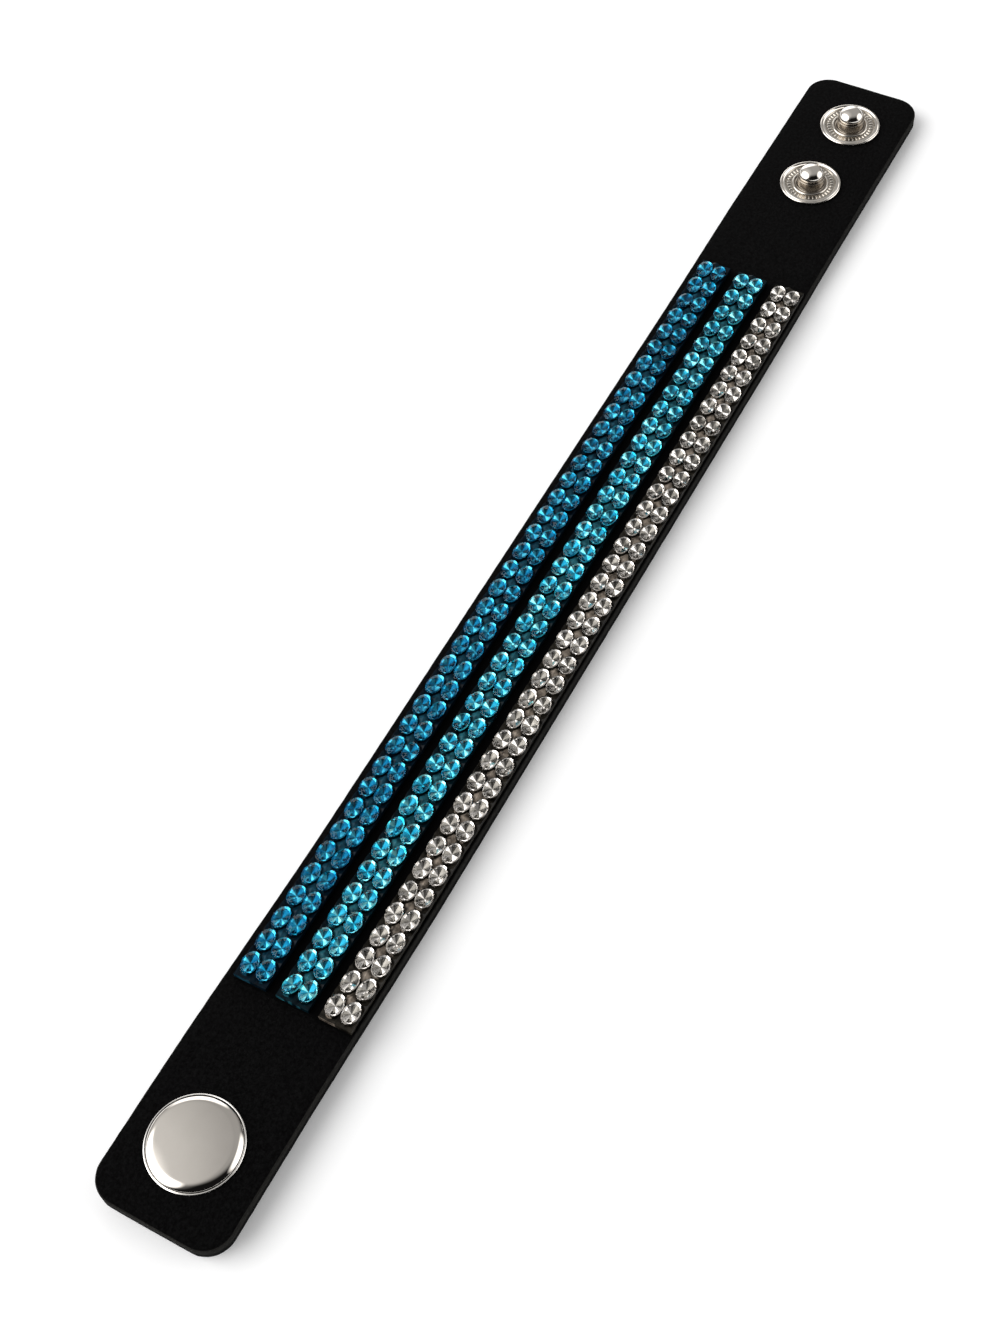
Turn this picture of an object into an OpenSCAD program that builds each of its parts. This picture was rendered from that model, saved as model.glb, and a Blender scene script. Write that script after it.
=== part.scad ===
// Rhinestone wristband: a flat suede-cloth strap with three strips of cut stones and a two-stud snap.
// Millimetres. The strap lies face up along X, the snap cap at the -X end and the two studs at the +X end.
// Z = 0 is the surface that it lies on: the strap's middle, the socket and the stud backs all touch it.

/* [Strap] */
// Length of the whole strap, end to end
strap_l = 229; // [215:1:245]
// Width of the strap
strap_w = 20; // [19.6:0.2:24]
// Thickness of the suede cloth
strap_t = 2.3; // [2:0.1:3]
// Radius of the four corners
corner_r = 4; // [3:0.1:8]

/* [Stone strips] */
// Bare strap between the cap's end and the stone strips
cap_flap = 32.9; // [31:0.1:36]
// Stones in a row along the strap
stones_per_row = 38; // [30:1:38]
// Spacing of the stones along the strap
pitch_along = 3.8; // [3.6:0.05:3.8]
// Spacing of the two rows on one tape
pitch_across = 2.48; // [2.48:0.01:2.6]
// Width of one plastic tape
tape_w = 5; // [4.9:0.05:5.1]
// Thickness of one plastic tape
tape_t = 0.8; // [0.6:0.05:1]
// Tape past the last stones, at each end
tape_end = 0.35; // [0.2:0.05:0.6]
// Gap between two tapes
tape_gap = 1.6; // [1.2:0.05:1.6]
// Bare strap beside the first tape, on the +Y side
border = 1.4; // [1:0.05:1.4]
// Thickness of the black film under the tapes
film_t = 0.18; // [0.1:0.02:0.3]
// How far the film shows past the tapes
film_rim = 0.2; // [0.1:0.05:0.25]

/* [Stones] */
// Length of a stone, along the strap
stone_l = 3.42; // [3:0.02:3.46]
// Width of a stone
stone_w = 2.36; // [2.2:0.02:2.36]
// Height of the upright girdle
girdle_h = 0.25; // [0.15:0.05:0.4]
// Height of the bevelled crown above the girdle
crown_h = 0.6; // [0.4:0.05:0.8]
// Size of the flat table against the girdle
table_share = 0.52; // [0.4:0.02:0.7]
// Sides of a stone
facets = 10; // [8:2:10]

/* [Snap cap and socket] */
// Diameter of the cap
cap_d = 13.2; // [12:0.1:13.4]
// Height of the domed cap
cap_h = 1.5; // [1.2:0.1:2]
// Cap's centre from the strap's end
cap_from_end = 11.3; // [10.5:0.1:12]
// Sideways place of the cap
cap_y = 0.5; // [-0.5:0.1:0.5]
// Height that the socket stands out under the strap
socket_out = 1.6; // [1.4:0.1:2]
// Depth that the socket's flange is sunk into the strap
socket_sunk = 1.2; // [0.9:0.1:1.3]
// Radius of the hole that takes a stud
socket_bore_r = 2.4; // [2.4:0.05:2.7]

/* [Studs] */
// Diameter of a stud's flange
flange_d = 10.4; // [10:0.1:10.6]
// Radius of a stud's head
head_r = 2.1; // [2:0.05:2.15]
// Height of a stud above the strap
stud_h = 3.75; // [3.7:0.05:3.9]
// Outer stud's centre from the strap's end
outer_from_end = 10.2; // [9:0.1:11]
// Inner stud's centre from the strap's end
inner_from_end = 26.4; // [25:0.1:28]
// Sideways place of the outer stud
outer_y = -0.6; // [-0.8:0.1:0.8]
// Sideways place of the inner stud
inner_y = -0.1; // [-0.8:0.1:0.8]
// Raised bars round the flange's sunk ring
bars = 36; // [24:1:40]
// Height that a stud's back stands out under the strap
back_out = 0.7; // [0.5:0.1:0.9]

/* [Hidden] */
$fn = 64;

// Clearance left between two pieces that lie face to face.
fit = 0.02;
// Rivet posts, and the holes that they pass through.
post_r = 1.6;
post_hole_r = 1.8;
stud_hole_r = 1.65;
// A stud's collar under its head, and the upright band round the head.
collar_r = 2.33;
head_band = 0.3;
// A stud's back: its rim, and how deep it is sunk into the strap.
back_r = 4.75;
back_sunk = 0.3;
// The socket's flange and its body.
socket_flange_r = 5.6;
socket_body_r = 4.3;
socket_web = 0.3;
// Level strap kept round the cap and round the studs, and the length of the rise that leads up to each.
cap_seat = 6;
cap_rise = 42;
stud_seat = 6.5;
stud_rise = 32;
// Straight steps that make up one rise.
rise_steps = 16;
// Clearance under a stone, which lies flat on a slightly curved tape.
stone_seat = 0.03;

strip_l = stones_per_row * pitch_along + 2 * tape_end;
strip_x0 = -strap_l / 2 + cap_flap;
strip_x1 = strip_x0 + strip_l;
cap_x = -strap_l / 2 + cap_from_end;
outer_x = strap_l / 2 - outer_from_end;
inner_x = strap_l / 2 - inner_from_end;
film_top = strap_t + fit + film_t;
tape_top = film_top + fit + tape_t;

// Smooth step from 0 to 1.
function ease(u) = let (c = min(1, max(0, u))) c * c * (3 - 2 * c);

// Where the level stretch at each end starts.
cap_level_x = cap_x + cap_seat;
stud_level_x = inner_x - stud_seat;

// Height of the strap's underside above the surface that it lies on.
function lift(x) =
    socket_out * ease((cap_level_x + cap_rise - x) / cap_rise)
    + back_out * ease((x - stud_level_x + stud_rise) / stud_rise);

// Slope of the strap at x, in degrees.
function slope(x) = atan(lift(x + 0.5) - lift(x - 0.5));

// Height of the strap's top face.
function strap_top(x) = lift(x) + strap_t;

// Middle of tape number i across the strap, counted from the +Y side.
function tape_y(i) = strap_w / 2 - border - tape_w / 2 - i * (tape_w + tape_gap);

module rounded_outline(l, w, r) {
    square([l - 2 * r, w], center = true);
    square([l, w - 2 * r], center = true);
    for (sx = [-1, 1], sy = [-1, 1])
        translate([sx * (l / 2 - r), sy * (w / 2 - r)]) circle(r);
}

// Places along the strap, from x0 to x1, that are close enough together to follow both rises.
rise_stations = concat(
    [for (k = [0:rise_steps]) cap_level_x + cap_rise * k / rise_steps],
    [for (k = [rise_steps:-1:0]) stud_level_x - stud_rise * k / rise_steps]
);
function stations(x0, x1) = concat([x0], [for (x = rise_stations) if (x > x0 + 0.1 && x < x1 - 0.1) x], [x1]);

// A layer that follows the strap: from x0 to x1, w wide about y, from height z above the underside, t thick.
module layer(x0, x1, y, w, z, t) {
    xs = stations(x0, x1);
    underside = [for (x = xs) [x, lift(x) + z]];
    top = [for (k = [len(xs) - 1:-1:0]) [xs[k], lift(xs[k]) + z + t]];
    translate([0, y, 0])
        rotate([90, 0, 0]) linear_extrude(w, center = true) polygon(concat(underside, top));
}

module strap() {
    color([0.05, 0.05, 0.05])
    difference() {
        intersection() {
            layer(-strap_l / 2, strap_l / 2, 0, strap_w + 2, 0, strap_t);
            linear_extrude(20) rounded_outline(strap_l, strap_w, corner_r);
        }
        translate([cap_x, cap_y, -1]) cylinder(h = 20, r = post_hole_r);
        translate([cap_x, cap_y, -1])
            cylinder(h = 1 + socket_out + socket_sunk, r = socket_flange_r + 0.1);
        for (p = [[inner_x, inner_y], [outer_x, outer_y]]) {
            translate([p[0], p[1], -1]) cylinder(h = 20, r = post_hole_r);
            translate([p[0], p[1], -1]) cylinder(h = 1 + back_out + back_sunk, r = back_r + 0.1);
        }
    }
}

module backing_film() {
    film_w = 3 * tape_w + 2 * tape_gap + film_rim;
    color([0.01, 0.01, 0.01])
        layer(strip_x0 - film_rim, strip_x1 + film_rim, strap_w / 2 - border - film_w / 2, film_w,
            strap_t + fit, film_t);
}

module tape(i) {
    layer(strip_x0, strip_x1, tape_y(i), tape_w, film_top + fit, tape_t);
}

// One cut stone: flat back, upright girdle, a ring of crown facets and a flat table.
module stone() {
    ring = [for (k = [0:facets - 1]) [cos(360 * k / facets), sin(360 * k / facets)]];
    levels = [[1, 0], [1, girdle_h], [table_share, girdle_h + crown_h]];
    points = [for (level = levels, p = ring)
        [p[0] * level[0] * stone_l / 2, p[1] * level[0] * stone_w / 2, level[1]]];
    back = [for (k = [0:facets - 1]) k];
    table = [for (k = [facets - 1:-1:0]) 2 * facets + k];
    sides = [for (j = [0, 1], k = [0:facets - 1])
        let (n = (k + 1) % facets) [j * facets + k, (j + 1) * facets + k, (j + 1) * facets + n, j * facets + n]];
    polyhedron(points, concat([back, table], sides));
}

// The two rows of stones on tape number i.
module stone_rows(i) {
    for (n = [0:stones_per_row - 1]) {
        x = strip_x0 + tape_end + (n + 0.5) * pitch_along;
        for (side = [-1, 1])
            translate([x, tape_y(i) + side * pitch_across / 2, lift(x) + tape_top + stone_seat])
                rotate([0, -slope(x), 0]) stone();
    }
}

module tape_deep_blue() { color([0.02, 0.22, 0.38]) tape(0); }
module tape_aqua() { color([0.03, 0.35, 0.50]) tape(1); }
module tape_clear() { color([0.45, 0.43, 0.40]) tape(2); }
module stones_deep_blue() { color([0.04, 0.45, 0.68]) stone_rows(0); }
module stones_aqua() { color([0.12, 0.68, 0.85]) stone_rows(1); }
module stones_clear() { color([0.85, 0.84, 0.82]) stone_rows(2); }

// The cap in section: rolled rim, curved shoulder, low dome, and the post under it.
module snap_cap() {
    r = cap_d / 2;
    post_end = socket_out + socket_sunk - 0.25 - strap_top(cap_x);
    dome = [for (k = [0:6]) let (s = 1 - k / 6)
        [(r - 1.3) * s, cap_h - 0.35 * s * s]];
    rim = [
        [r - 0.45, fit], [r - 0.12, 0.12], [r, 0.32], [r - 0.08, 0.55],
        [r - 0.3, 0.66], [r - 0.5, 0.68], [r - 0.75, 0.86], [r - 1, 1.02]
    ];
    color([0.80, 0.78, 0.75])
        translate([cap_x, cap_y, strap_top(cap_x)])
            rotate_extrude()
                polygon(concat([[0, post_end], [post_r, post_end], [post_r, fit]], rim, dome));
}

// The socket: a flange sunk into the strap's underside, and a round body with a blind hole facing down.
module snap_socket() {
    h = socket_out + socket_sunk - fit;
    bore_h = h - socket_web;
    flange_z = socket_out + 0.1;
    section = [
        [post_hole_r - 0.1, h], [post_hole_r - 0.1, bore_h], [socket_bore_r, bore_h],
        [socket_bore_r, 0], [socket_body_r - 0.3, 0], [socket_body_r, 0.3],
        [socket_body_r, flange_z - 0.3], [socket_flange_r - 0.3, flange_z],
        [socket_flange_r, flange_z + 0.2], [socket_flange_r, h]
    ];
    color([0.72, 0.71, 0.69])
        translate([cap_x, cap_y, 0]) rotate_extrude() polygon(section);
}

// One stud: flange with a rolled rim, sunk ring with raised bars, boss, neck and domed head.
module stud(x, y) {
    r = flange_d / 2;
    floor_z = 0.25;
    ring_in = 3.15;
    ring_out = r - 1;
    dome_rise = 1.4;
    dome = [for (k = [0:5]) let (a = 90 * k / 5)
        [head_r * cos(a), stud_h - dome_rise + dome_rise * sin(a)]];
    section = concat(
        [
            [0, 1.6], [stud_hole_r, 1.6], [stud_hole_r, fit], [r - 0.15, fit], [r, 0.18],
            [r - 0.05, 0.42], [r - 0.26, 0.52], [r - 0.48, 0.34], [r - 0.6, 0.44], [ring_out + 0.15, 0.44],
            [ring_out, floor_z], [ring_in, floor_z], [ring_in - 0.1, 0.44], [ring_in - 0.3, 0.48],
            [ring_in - 0.45, floor_z], [collar_r + 0.02, floor_z], [collar_r, 1.73], [collar_r - 0.13, 1.86],
            [head_r - 0.22, 1.9], [head_r - 0.22, 1.98], [head_r, stud_h - dome_rise - head_band]
        ],
        dome
    );
    translate([x, y, strap_top(x)]) {
        rotate_extrude() polygon(section);
        for (k = [0:bars - 1])
            rotate([0, 0, 360 * k / bars])
                translate([ring_in + 0.22, -0.1, floor_z - 0.05])
                    cube([ring_out - ring_in - 0.44, 0.2, 0.15]);
    }
}

module stud_inner() { color([0.78, 0.76, 0.74]) stud(inner_x, inner_y); }
module stud_outer() { color([0.78, 0.76, 0.74]) stud(outer_x, outer_y); }

// The rivet disc under a stud, with the post that holds the stud.
module stud_back(x, y) {
    h = back_out + back_sunk - fit;
    post_end = strap_top(x) + 1.4;
    section = [
        [0, 0], [back_r - 0.4, 0], [back_r, 0.35], [back_r, h],
        [post_r, h], [post_r, post_end], [0, post_end]
    ];
    translate([x, y, 0]) rotate_extrude() polygon(section);
}

module stud_back_inner() { color([0.72, 0.71, 0.69]) stud_back(inner_x, inner_y); }
module stud_back_outer() { color([0.72, 0.71, 0.69]) stud_back(outer_x, outer_y); }

strap();
backing_film();
tape_deep_blue();
tape_aqua();
tape_clear();
stones_deep_blue();
stones_aqua();
stones_clear();
snap_cap();
snap_socket();
stud_inner();
stud_outer();
stud_back_inner();
stud_back_outer();
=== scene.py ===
"""Looks of the rhinestone wristband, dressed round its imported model.

Lengths are in metres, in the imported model's own frame: +X runs along the strap from the snap cap to the
studs, +Y across it towards the deep blue strip, and +Z up out of the stones.
"""

import logging
import math
import random
from dataclasses import dataclass, field
from enum import Enum, IntEnum

import bmesh
import bpy
from bmesh.types import BMEdge, BMesh, BMFace, BMVert
from bpy.types import Material, NodeSocket, NodeTree, Object, ShaderNode
from mathutils import Matrix, Vector
from mathutils import noise as fractal


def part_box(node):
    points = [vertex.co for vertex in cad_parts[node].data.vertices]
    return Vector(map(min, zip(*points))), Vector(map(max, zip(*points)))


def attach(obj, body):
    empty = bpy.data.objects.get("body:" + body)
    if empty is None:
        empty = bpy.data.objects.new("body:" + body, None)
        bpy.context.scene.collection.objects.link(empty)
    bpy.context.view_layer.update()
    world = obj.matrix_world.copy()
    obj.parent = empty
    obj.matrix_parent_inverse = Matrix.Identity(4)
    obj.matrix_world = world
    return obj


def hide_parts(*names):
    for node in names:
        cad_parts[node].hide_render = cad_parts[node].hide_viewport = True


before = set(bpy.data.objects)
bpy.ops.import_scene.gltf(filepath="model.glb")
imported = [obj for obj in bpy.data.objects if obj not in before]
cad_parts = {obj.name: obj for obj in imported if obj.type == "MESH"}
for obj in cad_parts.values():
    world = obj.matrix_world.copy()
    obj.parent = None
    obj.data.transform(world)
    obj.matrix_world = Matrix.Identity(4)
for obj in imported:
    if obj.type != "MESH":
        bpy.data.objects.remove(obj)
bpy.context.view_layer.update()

MM = 0.001
BODY = "root"
MERGE = 1e-7
LOOSE_MERGE = 10 * MERGE
FULL_TURN = 2 * math.pi

# A face stands upright if its normal rises less than this, and closes a tape's end if it points along X.
UPRIGHT = 0.5
END_FACING = 0.9

# A point on the side of a tape's field has two edges, and a peak between four cups ends up with eight.
SIDE_EDGES = 2
PEAK_EDGES = 8

# Turned metal keeps a sharp edge where its faces meet at more than this.
SHARP = math.radians(50)

Colour = tuple[float, float, float]
Point = tuple[float, float, float]
Span = tuple[float, float]
Profile = list[tuple[float, float]]

log = logging.getLogger("wristband")


def centre_of(node: str) -> Vector:
    """Middle of a CAD node's box."""
    low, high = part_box(node)
    return (low + high) / 2


class Recipe:
    """Node tree of one material, with short ways to add and join its nodes."""

    def __init__(self, name: str, **constants: object) -> None:
        """Starts a material with one Principled shader.

        Args:
            name: Name of the material.
            **constants: Values of the shader's sockets, with the sockets' names in lower case.
        """
        self.material = bpy.data.materials.new(name)
        self.material.use_nodes = True
        self.nodes = self.material.node_tree.nodes
        self.shader = self.nodes["Principled BSDF"]
        sockets = {socket.name.lower().replace(" ", "_"): socket for socket in self.shader.inputs}
        for socket_name, value in constants.items():
            socket = sockets[socket_name]
            socket.default_value = (*value, 1.0) if socket.type == "RGBA" else value

    def add(self, kind: str, **inputs: object) -> ShaderNode:
        """Adds a node.

        Args:
            kind: The node's type, without its first words.
            **inputs: Numbers, or sockets to join, for the node's inputs, by their names in lower case.

        Returns:
            The new node.
        """
        node = self.nodes.new("ShaderNode" + kind)
        sockets = {socket.name.lower().replace(" ", "_"): socket for socket in node.inputs if socket.enabled}
        for socket_name, value in inputs.items():
            if isinstance(value, NodeSocket):
                self.join(value, sockets[socket_name])
            else:
                sockets[socket_name].default_value = value
        return node

    def join(self, source: NodeSocket, target: NodeSocket) -> None:
        """Joins an output to an input."""
        self.material.node_tree.links.new(source, target)

    def noise(self, grain: float, detail: float, stretch: Point = (1.0, 1.0, 1.0)) -> NodeSocket:
        """Adds fractal noise that is fixed to the piece.

        Args:
            grain: Size of one blotch, in metres.
            detail: Number of finer layers.
            stretch: How many times finer the noise is along each axis.

        Returns:
            The noise's value, from 0 to 1.
        """
        place = self.add("TexCoord").outputs["Object"]
        scaled = self.add("Mapping", vector=place, scale=stretch).outputs["Vector"]
        return self.add("TexNoise", vector=scaled, scale=1 / grain, detail=detail).outputs["Fac"]

    def multiply(self, first: NodeSocket, second: NodeSocket) -> NodeSocket:
        """Adds the product of two values.

        Args:
            first: One value.
            second: The other value.

        Returns:
            Their product.
        """
        product = self.add("Math")
        product.operation = "MULTIPLY"
        self.join(first, product.inputs[0])
        self.join(second, product.inputs[1])
        return product.outputs["Value"]

    def sharpen(self, value: NodeSocket, low: float, high: float) -> NodeSocket:
        """Stretches the part of a value from low to high over the whole range."""
        return self.add("MapRange", value=value, from_min=low, from_max=high).outputs["Result"]

    def tint(self, value: NodeSocket, dark: Colour, light: Colour) -> None:
        """Paints the base colour between two tones.

        Args:
            value: Share of the light tone, from 0 to 1.
            dark: Tone at 0.
            light: Tone at 1.
        """
        mix = self.nodes.new("ShaderNodeMix")
        mix.data_type = "RGBA"
        enabled = [socket for socket in mix.inputs if socket.enabled]
        factor, tone_a, tone_b = (s for s in enabled if s.identifier.endswith(("Float", "Color")))
        self.join(value, factor)
        tone_a.default_value = (*dark, 1.0)
        tone_b.default_value = (*light, 1.0)
        colour = next(socket for socket in mix.outputs if socket.enabled)
        self.join(colour, self.shader.inputs["Base Color"])

    def roughen(self, value: NodeSocket, low: float, high: float) -> None:
        """Varies the roughness between two values."""
        spread = self.add("MapRange", value=value, to_min=low, to_max=high).outputs["Result"]
        self.join(spread, self.shader.inputs["Roughness"])

    def bump(self, height: NodeSocket, depth: float, strength: float) -> None:
        """Adds relief.

        Args:
            height: The relief's value, from 0 to 1.
            depth: Height of the relief in metres.
            strength: Share of the relief that shows.
        """
        relief = self.add("Bump", height=height, distance=depth, strength=strength)
        before = self.shader.inputs["Normal"]
        if before.is_linked:
            self.join(before.links[0].from_socket, relief.inputs["Normal"])
        self.join(relief.outputs["Normal"], before)


@dataclass(frozen=True)
class Suede:
    """Black suede cloth: a short even nap that takes almost no light."""

    dark: Colour = (0.0006, 0.0005, 0.0006)
    light: Colour = (0.0042, 0.0042, 0.0044)
    nap: float = 0.22 * MM
    clump: float = 0.5 * MM
    depth: float = 0.08 * MM
    contrast: Span = (0.14, 0.40)

    def material(self) -> Material:
        """Builds the material.

        Returns:
            The new material.
        """
        recipe = Recipe(
            "black_suede", roughness=0.95, specular_ior_level=0.04,
            sheen_weight=0.01, sheen_roughness=0.5, sheen_tint=(0.6, 0.58, 0.56),
        )
        nap = recipe.noise(self.nap, detail=4.0)
        clump = recipe.noise(self.clump, detail=3.0)
        tufts = recipe.sharpen(recipe.multiply(nap, clump), *self.contrast)
        recipe.tint(tufts, self.dark, self.light)
        recipe.bump(nap, self.depth, strength=0.8)
        recipe.bump(clump, self.depth, strength=0.5)
        return recipe.material


@dataclass(frozen=True)
class CutEdge:
    """The strap's cut side: a felted core, with fibres that run along the strap. It is made twice, lighter as
    painted light for the upper half and darker as painted shade for the lower half.
    """

    name: str
    dark: Colour
    light: Colour
    fibre: float = 0.16 * MM
    run: Point = (0.22, 1.0, 1.0)
    depth: float = 0.10 * MM
    contrast: Span = (0.3, 0.7)

    def material(self) -> Material:
        """Builds the material.

        Returns:
            The new material.
        """
        recipe = Recipe(self.name, roughness=0.95, specular_ior_level=0.05)
        fibre = recipe.noise(self.fibre, detail=4.0, stretch=self.run)
        recipe.tint(recipe.sharpen(fibre, *self.contrast), self.dark, self.light)
        recipe.bump(fibre, self.depth, strength=0.8)
        return recipe.material


@dataclass(frozen=True)
class Film:
    """Thin black film that shows as the floor between the stone strips."""

    dark: Colour = (0.0008, 0.0008, 0.0009)
    light: Colour = (0.0020, 0.0020, 0.0022)
    grain: float = 0.8 * MM
    roughness: Span = (0.65, 0.80)

    def material(self) -> Material:
        """Builds the material.

        Returns:
            The new material.
        """
        recipe = Recipe("black_film", specular_ior_level=0.02)
        grain = recipe.noise(self.grain, detail=2.0)
        recipe.tint(grain, self.dark, self.light)
        recipe.roughen(grain, *self.roughness)
        return recipe.material


@dataclass(frozen=True)
class Plastic:
    """Moulded plastic of one tape, glossy and tinted like its stones."""

    name: str
    dark: Colour
    light: Colour
    cloud: float = 0.9 * MM
    contrast: Span = (0.35, 0.65)
    roughness: Span = (0.22, 0.44)
    depth: float = 0.02 * MM

    def material(self) -> Material:
        """Builds the material.

        Returns:
            The new material.
        """
        recipe = Recipe(self.name, specular_ior_level=0.12)
        cloud = recipe.noise(self.cloud, detail=2.0)
        recipe.tint(recipe.sharpen(cloud, *self.contrast), self.dark, self.light)
        recipe.roughen(cloud, *self.roughness)
        recipe.bump(cloud, self.depth, strength=0.5)
        return recipe.material


@dataclass(frozen=True)
class Crown:
    """The clear front of a cut stone."""

    name: str
    tint: Colour
    refraction: float = 1.22
    cloud: float = 0.7 * MM
    roughness: Span = (0.0, 0.03)

    def material(self) -> Material:
        """Builds the material.

        Returns:
            The new material.
        """
        recipe = Recipe(self.name, base_color=self.tint, transmission_weight=1.0, ior=self.refraction)
        recipe.roughen(recipe.noise(self.cloud, detail=2.0), *self.roughness)
        return recipe.material


@dataclass(frozen=True)
class Foil:
    """The mirror foil on a stone's back, seen through its front."""

    name: str
    dark: Colour
    light: Colour
    cloud: float = 1.3 * MM
    contrast: Span = (0.35, 0.65)
    roughness: Span = (0.04, 0.10)

    def material(self) -> Material:
        """Builds the material.

        Returns:
            The new material.
        """
        recipe = Recipe(self.name, metallic=1.0)
        cloud = recipe.noise(self.cloud, detail=1.0)
        recipe.tint(recipe.sharpen(cloud, *self.contrast), self.dark, self.light)
        recipe.roughen(cloud, *self.roughness)
        return recipe.material


@dataclass(frozen=True)
class Nickel:
    """Nickel plate, bright or plain."""

    name: str
    dark: Colour
    light: Colour
    roughness: Span
    cloud: float = 2.5 * MM
    grain: float = 0.12 * MM
    depth: float = 0.001 * MM

    def material(self) -> Material:
        """Builds the material.

        Returns:
            The new material.
        """
        recipe = Recipe(self.name, metallic=1.0)
        cloud = recipe.noise(self.cloud, detail=4.0)
        recipe.tint(cloud, self.dark, self.light)
        recipe.roughen(cloud, *self.roughness)
        recipe.bump(recipe.noise(self.grain, detail=2.0), self.depth, strength=0.3)
        return recipe.material


@dataclass(frozen=True)
class Floor:
    """The pale floor that the wristband lies on, lit a little from below."""

    tone: Colour = (0.93, 0.942, 0.961)
    glow: float = 0.13

    def material(self) -> Material:
        """Builds the material.

        Returns:
            The new material.
        """
        recipe = Recipe(
            "pale_floor", base_color=self.tone, roughness=0.9, specular_ior_level=0.1,
            emission_color=(1.0, 1.0, 1.0), emission_strength=self.glow,
        )
        return recipe.material


class StoneColour(Enum):
    """Colours of the three strips, with the tones of their tapes, foils and crowns."""

    DEEP_BLUE = "deep_blue"
    AQUA = "aqua"
    CLEAR = "clear"

    def plastic(self) -> Plastic:
        """Finish of the strip's tape.

        Returns:
            The plastic.
        """
        tones = {
            StoneColour.DEEP_BLUE: ((0.0003, 0.0025, 0.0055), (0.0006, 0.0080, 0.0160)),
            StoneColour.AQUA: ((0.0003, 0.0035, 0.0060), (0.0006, 0.0110, 0.0170)),
            StoneColour.CLEAR: ((0.0030, 0.0027, 0.0020), (0.0240, 0.0210, 0.0160)),
        }
        return Plastic(self.value + "_tape", *tones[self])

    def peak_plastic(self) -> Plastic:
        """Finish of the small peaks between the stones and of a few spots on the tape's ends, where more
        light comes through the tape: a lighter copy of the tape's plastic, as painted light.

        Returns:
            The plastic.
        """
        tones = {
            StoneColour.DEEP_BLUE: ((0.002, 0.018, 0.034), (0.012, 0.070, 0.110)),
            StoneColour.AQUA: ((0.004, 0.035, 0.052), (0.024, 0.140, 0.180)),
            StoneColour.CLEAR: ((0.050, 0.041, 0.033), (0.310, 0.262, 0.216)),
        }
        return Plastic(self.value + "_peak", *tones[self])

    def bright_foil(self) -> Foil:
        """Finish of the rim and some petals of the stones' backs: the foil painted lighter, as painted light
        and painted reflection.

        Returns:
            The foil.
        """
        tones = {
            StoneColour.DEEP_BLUE: ((0.003, 0.19, 0.32), (0.100, 0.60, 0.80)),
            StoneColour.AQUA: ((0.020, 0.42, 0.62), (0.360, 0.96, 1.00)),
            StoneColour.CLEAR: ((0.66, 0.635, 0.605), (1.00, 0.97, 0.94)),
        }
        return Foil(self.value + "_foil", *tones[self])

    def dim_foil(self) -> Foil:
        """Finish of the other petals: the foil painted darker, as painted shade.

        Returns:
            The foil.
        """
        tones = {
            StoneColour.DEEP_BLUE: ((0.001, 0.052, 0.110), (0.004, 0.105, 0.185)),
            StoneColour.AQUA: ((0.004, 0.110, 0.185), (0.014, 0.190, 0.285)),
            StoneColour.CLEAR: ((0.10, 0.095, 0.086), (0.21, 0.20, 0.182)),
        }
        return Foil(self.value + "_dim_foil", *tones[self])

    def crown(self) -> Crown:
        """Finish of the fronts of the strip's stones.

        Returns:
            The crown's finish.
        """
        tints = {
            StoneColour.DEEP_BLUE: (0.75, 0.95, 1.0),
            StoneColour.AQUA: (0.85, 0.98, 1.0),
            StoneColour.CLEAR: (1.0, 1.0, 1.0),
        }
        return Crown(self.value + "_crown", tints[self])


class StrapFinish(IntEnum):
    """Order of the strap's materials: the nap, the cut side's upper half and rounding painted lighter as
    light, and its lower half painted darker as shade.
    """

    NAP = 0
    UPPER_CUT = 1
    LOWER_CUT = 2


class TapeFinish(IntEnum):
    """Order of a tape's materials: the plastic, and a lighter copy of it as painted light."""

    BODY = 0
    PEAK = 1


class StoneFinish(IntEnum):
    """Order of the stones' materials: the crown, the foil painted lighter as light and the foil painted
    darker as shade.
    """

    CROWN = 0
    BRIGHT_FOIL = 1
    DIM_FOIL = 2


class CapFinish(IntEnum):
    """Order of the cap's materials: polished nickel for the dome, and near-white nickel on the rolled rim as
    a painted highlight.
    """

    DOME = 0
    RIM = 1


class StudFinish(IntEnum):
    """Order of a stud's materials: bright nickel, nickel painted darker as shade under the head, and rougher
    nickel painted darker as shade in the sunk ring.
    """

    BRIGHT = 0
    SHADED = 1
    DULL = 2


# Painted light and shade: the cut side's upper half and top rounding are lighter and its lower half darker,
# as light from above falls on it.
UPPER_CUT = CutEdge("upper_cut_edge", (0.0080, 0.0079, 0.0073), (0.0250, 0.0244, 0.0226))
LOWER_CUT = CutEdge("lower_cut_edge", (0.0010, 0.0010, 0.0009), (0.0040, 0.0038, 0.0036))
POLISHED = Nickel("polished_nickel", (0.73, 0.69, 0.64), (0.79, 0.75, 0.70), (0.03, 0.07))
# Painted highlight: a near-white copy of the nickel for the cap's rolled rim.
BRIGHT = Nickel("bright_nickel", (0.93, 0.91, 0.88), (0.97, 0.95, 0.92), (0.10, 0.16))
# Painted shade: darker copies of the nickel, under the stud's head and in its sunk ring, where the dull one
# is also rougher.
SHADED = Nickel("shaded_nickel", (0.22, 0.192, 0.160), (0.34, 0.302, 0.258), (0.12, 0.20))
DULL = Nickel("dull_nickel", (0.40, 0.368, 0.320), (0.56, 0.520, 0.460), (0.16, 0.26))
SATIN = Nickel("satin_nickel", (0.55, 0.54, 0.51), (0.63, 0.62, 0.60), (0.22, 0.34))


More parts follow.
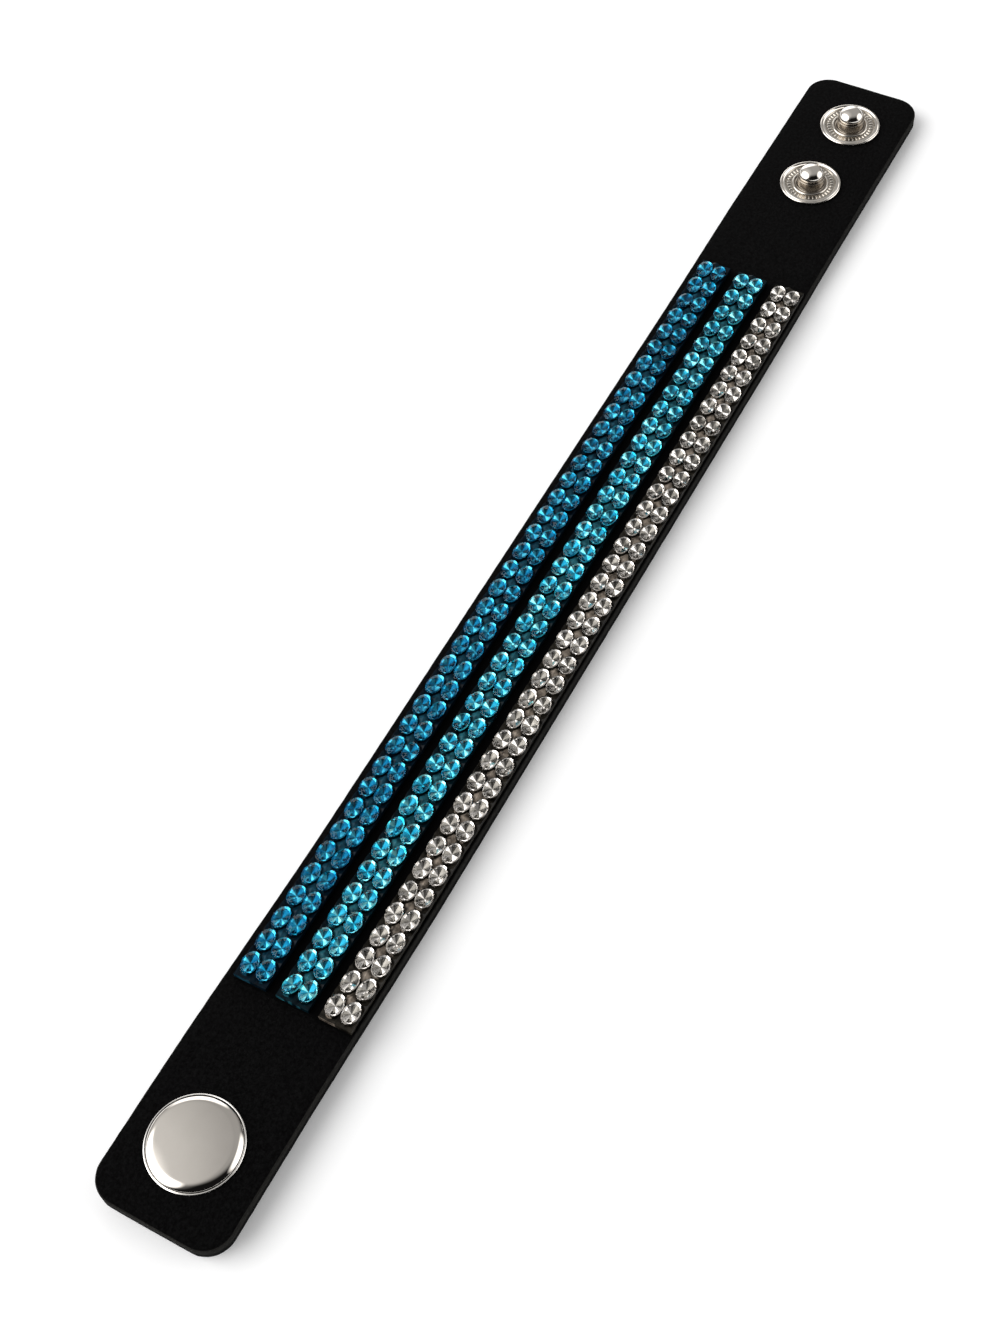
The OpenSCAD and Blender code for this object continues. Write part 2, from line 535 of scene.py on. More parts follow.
def make_piece(name: str, bm: BMesh, materials: list[Material], node: str) -> Object:
    """Turns a finished bmesh into a piece that stands for a CAD node.

    Args:
        name: Name of the piece.
        bm: Its geometry, in place. It is freed.
        materials: Its materials, in the order of the faces' material numbers.
        node: The CAD node that it stands for.

    Returns:
        The new object.
    """
    mesh = bpy.data.meshes.new(name)
    bm.to_mesh(mesh)
    bm.free()
    for material in materials:
        mesh.materials.append(material)
    piece = bpy.data.objects.new(name, mesh)
    bpy.context.scene.collection.objects.link(piece)
    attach(piece, BODY)
    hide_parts(node)
    log.info("%s stands for %s, with %d faces", name, node, len(mesh.polygons))
    return piece


def dress_node(node: str, material: Material) -> None:
    """Gives a CAD node that stays a better material.

    Args:
        node: The CAD node.
        material: Its new material.
    """
    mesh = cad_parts[node].data
    mesh.materials.clear()
    mesh.materials.append(material)
    log.info("%s keeps its solid and is dressed in %s", node, material.name)


def arc(centre: tuple[float, float], radius: float, start: float, end: float, steps: int) -> Profile:
    """Points of a round stretch of a half section.

    Args:
        centre: Radius and height of its centre.
        radius: Its own radius.
        start: First angle in degrees, from the outward direction up.
        end: Last angle in degrees.
        steps: Number of straight steps.

    Returns:
        The points in order, with both ends.
    """
    angles = [math.radians(start + (end - start) * k / steps) for k in range(steps + 1)]
    return [(centre[0] + radius * math.cos(a), centre[1] + radius * math.sin(a)) for a in angles]


def lathe(profile: Profile, steps: int) -> BMesh:
    """Spins a half section a full turn about the Z axis.

    Args:
        profile: Radius and height of each point, in millimetres.
        steps: Steps of the turn.

    Returns:
        A closed mesh with its faces pointing outwards.
    """
    bm = bmesh.new()
    corners = [bm.verts.new((max(r, 0.0) * MM, 0.0, z * MM)) for r, z in profile]
    edges = [bm.edges.new(pair) for pair in zip(corners, corners[1:])]
    bmesh.ops.spin(
        bm, geom=corners + edges, cent=(0, 0, 0), axis=(0, 0, 1), angle=FULL_TURN, steps=steps,
        use_merge=True,
    )
    bmesh.ops.remove_doubles(bm, verts=bm.verts[:], dist=MERGE)
    bmesh.ops.recalc_face_normals(bm, faces=bm.faces[:])
    for face in bm.faces:
        face.smooth = True
    return bm


@dataclass(frozen=True)
class StrapLine:
    """The strap's gentle rise towards the snap socket at one end and the stud backs at the other."""

    socket_out: float = 1.6 * MM
    back_out: float = 0.7 * MM
    cap_seat: float = 6 * MM
    cap_rise: float = 42 * MM
    stud_seat: float = 6.5 * MM
    stud_rise: float = 32 * MM
    reach: float = 0.5 * MM
    cap_x: float = field(default_factory=lambda: centre_of("snap_cap").x)
    inner_stud_x: float = field(default_factory=lambda: centre_of("stud_inner").x)

    def lift(self, x: float) -> float:
        """Height of the strap's underside at one place along it.

        Args:
            x: The place.

        Returns:
            The height above the floor.
        """
        cap_level = self.cap_x + self.cap_seat
        stud_level = self.inner_stud_x - self.stud_seat
        towards_cap = self.ease((cap_level + self.cap_rise - x) / self.cap_rise)
        towards_studs = self.ease((x - stud_level + self.stud_rise) / self.stud_rise)
        return self.socket_out * towards_cap + self.back_out * towards_studs

    def slope(self, x: float) -> float:
        """Slope of the strap at x, in radians."""
        return math.atan2(self.lift(x + self.reach) - self.lift(x - self.reach), 2 * self.reach)

    def follow(self, bm: BMesh) -> None:
        """Raises every vertex of a flat mesh as the strap rises."""
        for vert in bm.verts:
            vert.co.z += self.lift(vert.co.x)

    @staticmethod
    def ease(share: float) -> float:
        """Smooth step from 0 to 1."""
        held = min(1.0, max(0.0, share))
        return held * held * (3 - 2 * held)


@dataclass
class SuedeStrap:
    """The suede-cloth strap, with soft cut edges."""

    line: StrapLine
    thickness: float = 2.3 * MM
    corner: float = 4.0 * MM
    corner_steps: int = 14
    edge_round: float = 0.16 * MM
    # Share of the cut side, from the bottom, that is painted darker as shade.
    painted_shade_share: float = 0.5
    cross_cut: float = 1.0 * MM
    long_cuts: int = 9
    fuzz: float = 0.035 * MM
    fuzz_grain: float = 0.7 * MM
    seed: int = 5

    def build(self) -> Object:
        """Builds the strap and dresses its faces and both halves of its cut side, the upper half with painted
        light and the lower half with painted shade.

        Returns:
            The strap.
        """
        bm = self.outline()
        self.cut_across(bm)
        self.thicken(bm)
        self.fuzz_edges(bm)
        self.line.follow(bm)
        finishes = [Suede().material(), UPPER_CUT.material(), LOWER_CUT.material()]
        return make_piece("suede_strap", bm, finishes, "strap")

    def outline(self) -> BMesh:
        """Makes a flat face with four round corners.

        Returns:
            The face, at the height of the strap's top.
        """
        low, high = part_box("strap")
        bm = bmesh.new()
        bmesh.ops.create_grid(bm, x_segments=1, y_segments=1, size=0.5)
        bmesh.ops.scale(bm, vec=(high.x - low.x, high.y - low.y, 1), verts=bm.verts[:])
        middle = ((high.x + low.x) / 2, (high.y + low.y) / 2, self.thickness)
        bmesh.ops.translate(bm, vec=middle, verts=bm.verts[:])
        bmesh.ops.bevel(
            bm, geom=bm.verts[:], offset=self.corner, segments=self.corner_steps, profile=0.5,
            affect="VERTICES", material=-1,
        )
        return bm

    def cut_across(self, bm: BMesh) -> None:
        """Cuts the face into short fields, so that it bends and takes small unevenness.

        Args:
            bm: The flat face.
        """
        low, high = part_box("strap")
        for number in range(1, int((high.x - low.x) / self.cross_cut)):
            self.cut(bm, (low.x + number * self.cross_cut, 0, 0), (1, 0, 0))
        for number in range(1, self.long_cuts + 1):
            y = low.y + (high.y - low.y) * number / (self.long_cuts + 1)
            self.cut(bm, (0, y, 0), (0, 1, 0))

    @staticmethod
    def cut(bm: BMesh, place: Point, normal: Point) -> None:
        """Cuts all faces by one plane."""
        geometry = bm.verts[:] + bm.edges[:] + bm.faces[:]
        bmesh.ops.bisect_plane(bm, geom=geometry, dist=MERGE, plane_co=place, plane_no=normal)

    def thicken(self, bm: BMesh) -> None:
        """Gives the cloth its thickness, rounds both edges of its cut side and numbers its finishes: painted
        light on the upper half and top rounding of the cut side, painted shade on its lower half.

        Args:
            bm: The flat face, cut into fields.
        """
        grown = bmesh.ops.extrude_face_region(bm, geom=bm.faces[:], use_keep_orig=True)["geom"]
        lower = [item for item in grown if isinstance(item, BMVert)]
        bmesh.ops.translate(bm, vec=(0, 0, -self.thickness), verts=lower)
        bmesh.ops.recalc_face_normals(bm, faces=bm.faces[:])
        rims = [edge for edge in bm.edges if self.is_rim(edge)]
        bmesh.ops.bevel(
            bm, geom=rims, offset=self.edge_round, segments=2, profile=0.5, affect="EDGES",
            material=StrapFinish.UPPER_CUT,
        )
        # Painted light and shade: the cut side is lighter above this height and darker below it.
        split = self.thickness * self.painted_shade_share
        self.cut(bm, (0, 0, split), (0, 0, 1))
        for face in bm.faces:
            face.smooth = True
            if face.material_index or abs(face.normal.z) < UPRIGHT:
                upper = face.calc_center_median().z > split
                face.material_index = StrapFinish.UPPER_CUT if upper else StrapFinish.LOWER_CUT

    @staticmethod
    def is_rim(edge: BMEdge) -> bool:
        """Tells whether an edge runs level round the cut side."""
        level = abs(edge.verts[0].co.z - edge.verts[1].co.z) < MERGE
        return level and any(abs(face.normal.z) < UPRIGHT for face in edge.link_faces)

    def fuzz_edges(self, bm: BMesh) -> None:
        """Roughens the cut side a little, as cut cloth is.

        Args:
            bm: The thick strap.
        """
        fractal.seed_set(self.seed)
        for vert in bm.verts:
            if any(face.material_index for face in vert.link_faces):
                sample = fractal.noise_vector(vert.co / self.fuzz_grain)
                vert.co.x += sample.x * self.fuzz
                vert.co.y += sample.y * self.fuzz


@dataclass(frozen=True)
class Cut:
    """Cut of one oval stone: table, crown facets, thin girdle and a pointed mirror back."""

    length: float = 3.46 * MM
    width: float = 2.42 * MM
    sides: int = 16
    petals: int = 8
    # Petals whose foil is painted lighter as light; the others are painted darker as shade.
    painted_light_petals: tuple[int, ...] = (1, 3, 5)
    girdle: float = 0.08 * MM
    crown: float = 0.38 * MM
    table: float = 0.52
    star: float = 0.80
    step: float = 0.07 * MM
    back: float = 0.50 * MM
    edge: float = 0.03 * MM
    # Rim faces below this share of the girdle's height take the foil painted lighter as a highlight.
    foil_share: float = 0.8

    def build(self) -> BMesh:
        """Builds the stone, lying with the girdle's lower edge at zero height.

        Returns:
            The stone.
        """
        bm = bmesh.new()
        self.add_ring_stack(bm, 1.0, 1.0, 0.0, self.girdle)
        self.add_ring_stack(bm, 1.0, self.table, self.girdle, self.crown)
        self.add_ring_stack(bm, self.star, 1.0, -self.step, self.step)
        self.add_ring_stack(bm, 0.0, self.star, -self.back, self.back - self.step)
        bmesh.ops.remove_doubles(bm, verts=bm.verts[:], dist=LOOSE_MERGE)
        bmesh.ops.contextual_create(bm, geom=self.edges_at(bm, self.girdle + self.crown))
        bmesh.ops.recalc_face_normals(bm, faces=bm.faces[:])
        bmesh.ops.bevel(
            bm, geom=self.edges_at(bm, self.girdle), offset=self.edge, segments=1, profile=0.5,
            affect="EDGES", material=-1,
        )
        bmesh.ops.scale(bm, vec=(self.length / 2, self.width / 2, 1), verts=bm.verts[:])
        for face in bm.faces:
            face.material_index = self.finish_of(face)
        return bm

    def finish_of(self, face: BMFace) -> StoneFinish:
        """Chooses the finish of one facet by its place.

        Args:
            face: The facet.

        Returns:
            The foil painted lighter as light for the rim and some of the back's petals, the foil painted
            darker as shade for the other petals, and the crown's finish above them.
        """
        middle = face.calc_center_median()
        # Painted highlight: the rim takes the lighter foil.
        if -self.step < middle.z < self.girdle * self.foil_share:
            return StoneFinish.BRIGHT_FOIL
        if middle.z >= 0:
            return StoneFinish.CROWN
        # Painted light and shade: some petals take the lighter foil and the rest the darker one, by their
        # direction.
        angle = math.atan2(middle.y / self.width, middle.x / self.length) % FULL_TURN
        petal = int(angle * self.petals / FULL_TURN)
        return StoneFinish.BRIGHT_FOIL if petal in self.painted_light_petals else StoneFinish.DIM_FOIL

    def add_ring_stack(self, bm: BMesh, lower: float, upper: float, start: float, height: float) -> None:
        """Adds one open band of facets between two rings of a round stone.

        Args:
            bm: The stone.
            lower: Radius of the lower ring, against the girdle.
            upper: Radius of the upper ring.
            start: Height of the lower ring.
            height: Height of the band.
        """
        place = Matrix.Translation((0, 0, start + height / 2))
        bmesh.ops.create_cone(
            bm, cap_ends=False, segments=self.sides, radius1=lower, radius2=upper, depth=height, matrix=place,
        )

    @staticmethod
    def edges_at(bm: BMesh, height: float) -> list[BMEdge]:
        """Level edges at one height."""
        level = {vert for vert in bm.verts if abs(vert.co.z - height) < LOOSE_MERGE}
        return [edge for edge in bm.edges if level.issuperset(edge.verts)]


@dataclass
class StoneStrip:
    """One plastic tape with its two rows of cut stones."""

    colour: StoneColour
    line: StrapLine
    cut: Cut = field(default_factory=Cut)
    stones_per_row: int = 38
    pitch_along: float = 3.8 * MM
    pitch_across: float = 2.48 * MM
    tape_end: float = 0.35 * MM
    tape_thickness: float = 0.8 * MM
    film_top: float = 2.52 * MM
    seat: float = 0.42 * MM
    lip_along: float = 0.14 * MM
    lip_across: float = 0.05 * MM
    lip_rise: float = 0.38 * MM
    gap_along: float = 0.02 * MM
    gap_across: float = 0.015 * MM
    cup_floor: Span = (0.25 * MM, 0.18 * MM)
    cup_depth: float = 0.20 * MM
    inset: float = 0.01 * MM
    peak: float = 0.26 * MM
    # Every this many faces on the tape's ends is painted lighter as light.
    painted_light_every: int = 3
    turn: float = math.radians(5)
    rock: float = math.radians(3.5)
    seed: int = 11

    def build(self) -> None:
        """Builds the tape and its stones as two pieces."""
        self.build_tape()
        self.build_stones()

    @property
    def node(self) -> str:
        """Name of the tape's CAD node."""
        return "tape_" + self.colour.value

    def places(self) -> list[tuple[float, float]]:
        """Works out where the stones sit, seen from above.

        Returns:
            The stones' centres, column by column.
        """
        low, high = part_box(self.node)
        middle = (low.y + high.y) / 2
        columns = [low.x + self.tape_end + (n + 0.5) * self.pitch_along for n in range(self.stones_per_row)]
        return [(x, middle + side * self.pitch_across / 2) for x in columns for side in (-1, 1)]

    def build_tape(self) -> Object:
        """Builds the moulded tape: a bar with a lipped cup for each stone and a small peak between cups,
        painted lighter as light.

        Returns:
            The tape.
        """
        low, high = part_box(self.node)
        top = self.film_top + self.tape_thickness
        bm = bmesh.new()
        bmesh.ops.create_grid(bm, x_segments=self.stones_per_row, y_segments=2, size=0.5)
        run = self.stones_per_row * self.pitch_along
        bmesh.ops.scale(bm, vec=(run, high.y - low.y, 1), verts=bm.verts[:])
        bmesh.ops.translate(bm, vec=((low.x + high.x) / 2, (low.y + high.y) / 2, top), verts=bm.verts[:])
        for vert in bm.verts:
            if abs(vert.co.x - (low.x + high.x) / 2) > run / 2 - MERGE:
                vert.co.x = low.x if vert.co.x < 0 else high.x
        bmesh.ops.subdivide_edges(bm, edges=bm.edges[:], cuts=3, use_grid_fill=False)
        for vert in bm.verts:
            if len(vert.link_edges) > SIDE_EDGES:
                vert.co.z += self.peak
        self.sink_cups(bm)
        # Painted light: the faces round each peak take the lighter plastic.
        for vert in bm.verts:
            if len(vert.link_edges) == PEAK_EDGES:
                for face in vert.link_faces:
                    face.material_index = TapeFinish.PEAK
        self.add_sides(bm)
        self.line.follow(bm)
        finishes = [self.colour.plastic().material(), self.colour.peak_plastic().material()]
        name = self.colour.value
        return make_piece(name + "_setting", bm, finishes, self.node)

    def sink_cups(self, bm: BMesh) -> None:
        """Turns each field of the tape's top into a lipped oval cup.

        Args:
            bm: The tape's top.
        """
        places = self.places()
        top = self.film_top + self.tape_thickness
        half_length = self.cut.length / 2
        half_width = self.cut.width / 2
        rings = [
            (half_length + self.lip_along, half_width + self.lip_across, top),
            (half_length + self.gap_along, half_width + self.gap_across, top + self.lip_rise),
            (*self.cup_floor, top - self.cup_depth),
        ]
        for face in bm.faces[:]:
            middle = face.calc_center_bounds()
            x, y = min(places, key=lambda place: (place[0] - middle.x) ** 2 + (place[1] - middle.y) ** 2)
            for along, across, height in rings:
                bmesh.ops.inset_individual(bm, faces=[face], thickness=self.inset, use_even_offset=True)
                for vert in face.verts:
                    angle = math.atan2((vert.co.y - y) / self.cut.width, (vert.co.x - x) / self.cut.length)
                    vert.co = (x + along * math.cos(angle), y + across * math.sin(angle), height)

    def add_sides(self, bm: BMesh) -> None:
        """Closes the tape with its upright sides and its flat back, with a few spots of painted light at both
        ends.

        Args:
            bm: The tape's top, with its cups.
        """
        rim = [edge for edge in bm.edges if edge.is_boundary]
        grown = bmesh.ops.extrude_edge_only(bm, edges=rim)["geom"]
        for item in grown:
            if isinstance(item, BMVert):
                item.co.z = self.film_top
        back = [item for item in grown if isinstance(item, BMEdge) and item.is_boundary]
        bmesh.ops.contextual_create(bm, geom=back)
        bmesh.ops.recalc_face_normals(bm, faces=bm.faces[:])
        # Painted light: every few faces on the tape's ends take the lighter plastic.
        ends = [face for face in bm.faces if abs(face.normal.x) > END_FACING]
        for face in sorted(ends, key=lambda face: -face.calc_center_median().y)[::self.painted_light_every]:
            face.material_index = TapeFinish.PEAK

    def build_stones(self) -> Object:
        """Builds both rows of stones, each turned and tipped a little, as set stones are.

        Returns:
            The stones.
        """
        chance = random.Random(self.seed + len(self.colour.value))
        stone = bpy.data.meshes.new(self.colour.value + "_stone")
        pattern = self.cut.build()
        pattern.to_mesh(stone)
        pattern.free()
        bm = bmesh.new()
        base = self.film_top + self.tape_thickness + self.seat
        for x, y in self.places():
            before = len(bm.verts)
            bm.from_mesh(stone)
            bm.verts.ensure_lookup_table()
            turn = Matrix.Rotation(chance.uniform(-self.turn, self.turn), 4, "Z")
            tip = Matrix.Rotation(chance.uniform(-self.rock, self.rock) - self.line.slope(x), 4, "Y")
            roll = Matrix.Rotation(chance.uniform(-self.rock, self.rock), 4, "X")
            place = Matrix.Translation((x, y, base + self.line.lift(x)))
            bmesh.ops.transform(bm, matrix=place @ tip @ roll @ turn, verts=bm.verts[before:])
        bpy.data.meshes.remove(stone)
        finishes = [
            self.colour.crown().material(),
            self.colour.bright_foil().material(),
            self.colour.dim_foil().material(),
        ]
        name = self.colour.value
        return make_piece(name + "_stone_rows", bm, finishes, "stones_" + name)


@dataclass
class SnapCap:
    """The domed cap, with its rolled rim and the post under it. Sizes are in millimetres."""

    radius: float = 6.6
    height: float = 1.5
    dome_radius: float = 5.1
    dome_rise: float = 0.31
    shoulder: float = 1.83
    shoulder_end: float = 38
    bead: float = 0.13
    bead_turn: Span = (120, -70)
    bead_overlap: float = 0.5
    fit: float = 0.02
    post_radius: float = 1.6
    dome_steps: int = 24
    shoulder_steps: int = 14
    bead_steps: int = 12
    steps: int = 128

    def profile(self) -> Profile:
        """Works out the cap's half section.

        Returns:
            The section's points, above the strap's top face.
        """
        sphere = (self.dome_radius ** 2 + self.dome_rise ** 2) / (2 * self.dome_rise)
        meeting = 90 - math.degrees(math.asin(self.dome_radius / sphere))
        dome = arc((0.0, self.height - sphere), sphere, 90, meeting, self.dome_steps)
        inward = math.radians(meeting)
        edge = dome[-1]
        centre = (edge[0] - self.shoulder * math.cos(inward), edge[1] - self.shoulder * math.sin(inward))
        shoulder = arc(centre, self.shoulder, meeting, self.shoulder_end, self.shoulder_steps)[1:]
        bead_centre = (self.radius - self.bead, self.bead + self.fit)
        bead = arc(bead_centre, self.bead, *self.bead_turn, self.bead_steps)
        low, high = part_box("snap_cap")
        post_end = (low.z - high.z) / MM + self.height
        under = [(self.radius - self.bead_overlap, self.fit), (self.post_radius, self.fit)]
        return dome + shoulder + bead + under + [(self.post_radius, post_end), (0.0, post_end)]

    def build(self) -> Object:
        """Builds the cap.

        Returns:
            The cap.
        """
        bm = lathe(self.profile(), self.steps)
        # Painted highlight: the rolled rim takes the near-white nickel.
        rim_start = (self.radius - 2 * self.bead) * MM
        for face in bm.faces:
            out = face.calc_center_median().xy.length
            face.material_index = CapFinish.RIM if out > rim_start else CapFinish.DOME
        middle = centre_of("snap_cap")
        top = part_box("snap_cap")[1].z
        bmesh.ops.translate(bm, vec=(middle.x, middle.y, top - self.height * MM), verts=bm.verts[:])
        finishes = [POLISHED.material(), BRIGHT.material()]
        piece = make_piece("domed_cap", bm, finishes, "snap_cap")
        piece.data.set_sharp_from_angle(angle=SHARP)
        return piece


@dataclass
class Stud:
    """One stud: flange with a rolled rim, sunk ring with plain bars, boss, flared neck and domed head.

    Sizes are in millimetres.
    """

    node: str
    radius: float = 5.2
    height: float = 3.75
    head: float = 2.1
    head_band: float = 0.3
    dome_rise: float = 1.4
    dome_steps: int = 14
    waist: float = 1.9
    neck_foot: float = 1.91
    collar: float = 2.33
    collar_round: float = 0.12
    collar_height: float = 1.75
    groove_out: float = 2.8
    groove_depth: float = 0.25
    boss_height: float = 0.48
    ring_in: float = 3.15
    ring_out: float = 4.2
    ring_floor: float = 0.25
    ring_wall: float = 0.13
    ring_margin: float = 0.04
    land_height: float = 0.44
    roll: float = 0.24
    roll_dip: float = 0.34
    fit: float = 0.02
    underside: float = 0.1
    # Heights between which the faces under the head are painted darker as shade.
    shade_foot: float = 0.24
    shade_top: float = 1.99
    bars: int = 36
    bar_length: float = 0.61
    bar_width: float = 0.2
    bar_rise: float = 0.1
    bar_round: float = 0.05
    steps: int = 96

    def profile(self) -> Profile:
        """Works out the stud's half section, from the head's top down and out to the rim.

        The bare numbers are the small steps that round off one form into the next.

        Returns:
            The section's points, above the strap's top face.
        """
        level = self.height - self.dome_rise
        turns = [math.radians(90 - 90 * k / self.dome_steps) for k in range(self.dome_steps + 1)]
        dome = [(self.head * math.cos(a), level + self.dome_rise * math.sin(a)) for a in turns]
        below = level - self.head_band
        throat = [(self.head, below), (self.head - 0.03, below - 0.06)]
        neck = throat + [(self.waist, self.neck_foot + 0.04), (self.waist, self.neck_foot)]
        shoulder = arc((self.collar - self.collar_round, self.collar_height), self.collar_round, 80, 0, 5)
        groove = [
            (self.collar + 0.02, self.groove_depth + 0.09),
            (self.collar + 0.1, self.groove_depth),
            (self.ring_in - 0.47, self.groove_depth),
        ]
        boss = [
            (self.ring_in - 0.36, self.boss_height - 0.06),
            (self.ring_in - 0.28, self.boss_height),
            (self.ring_in - 0.14, self.boss_height),
            (self.ring_in - 0.07, self.boss_height - 0.05),
        ]
        ring = [(self.ring_in, self.ring_floor), (self.ring_out, self.ring_floor)]
        land = [
            (self.ring_out + self.ring_wall, self.land_height),
            (self.radius - 0.60, self.land_height),
            (self.radius - 0.47, self.roll_dip),
        ]
        rim = arc((self.radius - self.roll, self.roll + 0.03), self.roll, 120, -60, 10)
        under = [(self.radius - 0.4, self.fit), (0.0, self.fit)]
        return dome + neck + shoulder + groove + boss + ring + land + rim + under

    def build(self) -> Object:
        """Builds the stud.

        Returns:
            The stud.
        """
        bm = lathe(self.profile(), self.steps)
        for face in bm.faces:
            face.material_index = self.finish_of(face)
        self.add_bars(bm)
        middle = centre_of(self.node)
        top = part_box(self.node)[1].z
        bmesh.ops.translate(bm, vec=(middle.x, middle.y, top - self.height * MM), verts=bm.verts[:])
        finishes = [POLISHED.material(), SHADED.material(), DULL.material()]
        piece = make_piece(self.node + "_shell", bm, finishes, self.node)
        piece.data.set_sharp_from_angle(angle=SHARP)
        return piece

    def finish_of(self, face: BMFace) -> StudFinish:
        """Chooses the finish of one face by its place.

        Args:
            face: The face.

        Returns:
            Painted shade below the head, rougher nickel with painted shade in the sunk ring, and bright
            elsewhere.
        """
        middle = face.calc_center_median() / MM
        out = middle.xy.length
        # Painted shade: the neck, collar and groove under the head are darker.
        if out < self.groove_out:
            return StudFinish.SHADED if self.shade_foot < middle.z < self.shade_top else StudFinish.BRIGHT
        # Painted shade: the sunk ring and its walls take the darker, rougher nickel.
        in_ring = self.ring_in - self.ring_margin < out < self.ring_out + self.ring_wall
        return StudFinish.DULL if in_ring and middle.z > self.underside else StudFinish.BRIGHT

    def add_bars(self, bm: BMesh) -> None:
        """Adds the plain raised bars round the sunk ring.

        Args:
            bm: The stud.
        """
        middle = (self.ring_out + self.ring_in) / 2
        sizes = Matrix.Diagonal((self.bar_length * MM, self.bar_width * MM, self.bar_rise * 2 * MM, 1))
        place = Matrix.Translation((middle * MM, 0, self.ring_floor * MM))
        for number in range(self.bars):
            turn = Matrix.Rotation(FULL_TURN * number / self.bars, 4, "Z")
            made = bmesh.ops.create_cube(bm, size=1, matrix=turn @ place @ sizes)["verts"]
            edges = list(dict.fromkeys(edge for vert in made for edge in vert.link_edges))
            bmesh.ops.bevel(
                bm, geom=edges, offset=self.bar_round * MM, segments=2, profile=0.5, affect="EDGES",
                material=-1,
            )


@dataclass(frozen=True)
class Glow:
    """One soft patch of light on the room's walls or ceiling, as a large diffuser gives.

    Angles are in degrees: the patch is at its full strength out to one and has faded away at the other.
    """

    azimuth: float
    elevation: float
    full: float
    fade: float
    strength: float

    @property
    def direction(self) -> Vector:
        """Direction of the patch's middle."""
        turn = math.radians(self.azimuth)
        tilt = math.radians(self.elevation)
        return Vector((math.cos(tilt) * math.cos(turn), math.cos(tilt) * math.sin(turn), math.sin(tilt)))


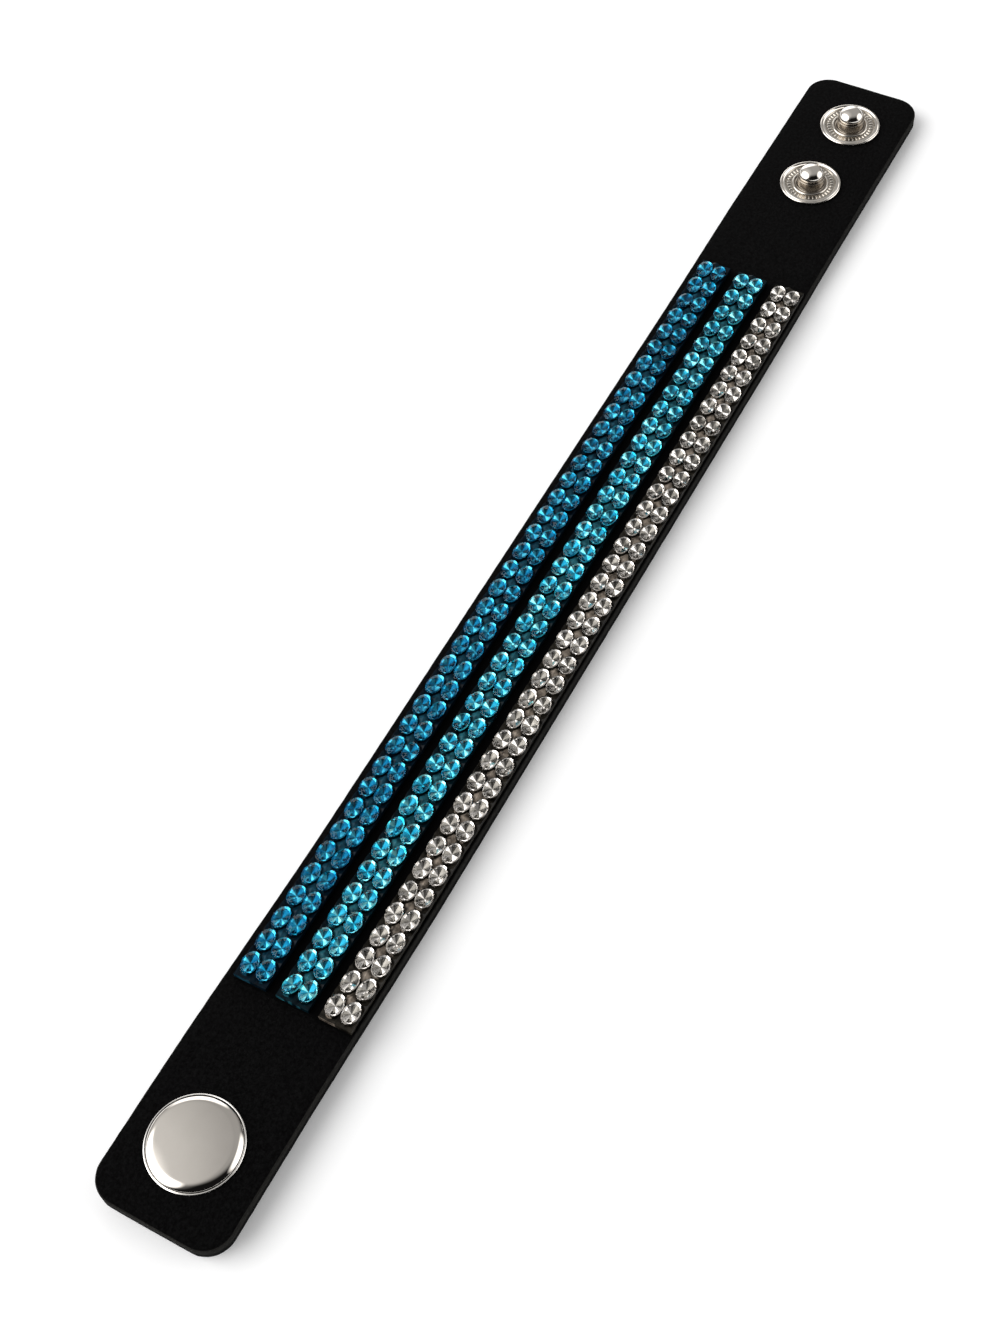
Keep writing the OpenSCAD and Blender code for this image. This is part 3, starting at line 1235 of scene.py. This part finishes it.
@dataclass
class Studio:
    """Pale floor in a room with a grey ceiling and three large diffusers, dark on the camera's side."""

    ceiling: tuple[Glow, ...] = (
        Glow(azimuth=34, elevation=52, full=42, fade=78, strength=0.40),
        Glow(azimuth=118, elevation=40, full=10, fade=60, strength=0.40),
    )
    diffusers: tuple[Glow, ...] = (
        Glow(azimuth=130, elevation=32, full=25, fade=42, strength=3.2),
        Glow(azimuth=298, elevation=20, full=14, fade=34, strength=2.2),
        Glow(azimuth=36, elevation=8, full=16, fade=32, strength=1.8),
    )
    floor_size: float = 6.0
    floor_fields: int = 8
    room_dark: float = 0.008
    backdrop: float = 1.05
    room_tone: Colour = (1.0, 0.985, 0.965)

    def build(self) -> None:
        """Builds the floor and the room."""
        self.build_floor()
        self.build_room()

    def build_floor(self) -> Object:
        """Builds the floor.

        Returns:
            The floor.
        """
        bm = bmesh.new()
        bmesh.ops.create_grid(
            bm, x_segments=self.floor_fields, y_segments=self.floor_fields, size=self.floor_size / 2,
        )
        mesh = bpy.data.meshes.new("floor")
        bm.to_mesh(mesh)
        bm.free()
        mesh.materials.append(Floor().material())
        floor = bpy.data.objects.new("floor", mesh)
        bpy.context.scene.collection.objects.link(floor)
        return floor

    def build_room(self) -> None:
        """Builds the room's light, patch upon patch, and a pale backdrop that only the camera sees."""
        world = bpy.data.worlds.new("room")
        bpy.context.scene.world = world
        world.use_nodes = True
        tree = world.node_tree
        direction = tree.nodes.new("ShaderNodeTexCoord").outputs["Generated"]
        total = None
        for patch in self.ceiling + self.diffusers:
            both = tree.nodes.new("ShaderNodeMath")
            both.operation = "ADD"
            if total:
                tree.links.new(total, both.inputs[0])
            else:
                both.inputs[0].default_value = self.room_dark
            tree.links.new(self.spread(tree, direction, patch), both.inputs[1])
            total = both.outputs["Value"]
        seen = tree.nodes.new("ShaderNodeLightPath").outputs["Is Camera Ray"]
        backdrop = tree.nodes.new("ShaderNodeMapRange")
        backdrop.inputs["To Max"].default_value = self.backdrop
        tree.links.new(seen, backdrop.inputs["Value"])
        tree.links.new(total, backdrop.inputs["To Min"])
        background = tree.nodes["Background"]
        background.inputs["Color"].default_value = (*self.room_tone, 1.0)
        tree.links.new(backdrop.outputs["Result"], background.inputs["Strength"])

    @staticmethod
    def spread(tree: NodeTree, direction: NodeSocket, patch: Glow) -> NodeSocket:
        """Adds one patch of light.

        Args:
            tree: The world's node tree.
            direction: The direction that is looked in.
            patch: The patch.

        Returns:
            The patch's strength in that direction.
        """
        cosine = tree.nodes.new("ShaderNodeVectorMath")
        cosine.operation = "DOT_PRODUCT"
        cosine.inputs[1].default_value = patch.direction
        tree.links.new(direction, cosine.inputs[0])
        fade = tree.nodes.new("ShaderNodeMapRange")
        fade.interpolation_type = "SMOOTHSTEP"
        fade.inputs["From Min"].default_value = math.cos(math.radians(patch.fade))
        fade.inputs["From Max"].default_value = math.cos(math.radians(patch.full))
        fade.inputs["To Min"].default_value = 0.0
        fade.inputs["To Max"].default_value = patch.strength
        tree.links.new(cosine.outputs["Value"], fade.inputs["Value"])
        return fade.outputs["Result"]


@dataclass(frozen=True)
class Viewpoint:
    """The camera, at the photograph's angle. Its roll is in degrees, its lens and film in millimetres."""

    place: Point = (-0.14688, -0.08222, 0.23277)
    target: Point = (-0.02268, 0.00058, 0.003)
    roll: float = 6.12
    lens: float = 50.77
    film_height: float = 36.0
    near: float = 10 * MM

    def build(self) -> None:
        """Places the camera."""
        camera = bpy.data.cameras.new("camera")
        camera.sensor_fit = "VERTICAL"
        camera.sensor_height = self.film_height
        camera.lens = self.lens
        camera.clip_start = self.near
        view = bpy.data.objects.new("camera", camera)
        bpy.context.scene.collection.objects.link(view)
        look = Vector(self.target) - Vector(self.place)
        level = look.to_track_quat("-Z", "Y").to_matrix().to_4x4()
        turned = Matrix.Rotation(math.radians(self.roll), 4, look.normalized())
        view.matrix_world = Matrix.Translation(self.place) @ turned @ level
        bpy.context.scene.camera = view


def main() -> None:
    """Builds the camera, the studio and every piece of the wristband."""
    logging.basicConfig(level=logging.INFO, format="%(name)s: %(message)s")
    bpy.context.scene.view_settings.view_transform = "Standard"
    Viewpoint().build()
    Studio().build()
    line = StrapLine()
    SuedeStrap(line).build()
    dress_node("backing_film", Film().material())
    for colour in StoneColour:
        StoneStrip(colour, line).build()
    SnapCap().build()
    for node in ("stud_inner", "stud_outer"):
        Stud(node).build()
    satin = SATIN.material()
    for node in ("snap_socket", "stud_back_inner", "stud_back_outer"):
        dress_node(node, satin)


if __name__ == "__main__":
    main()
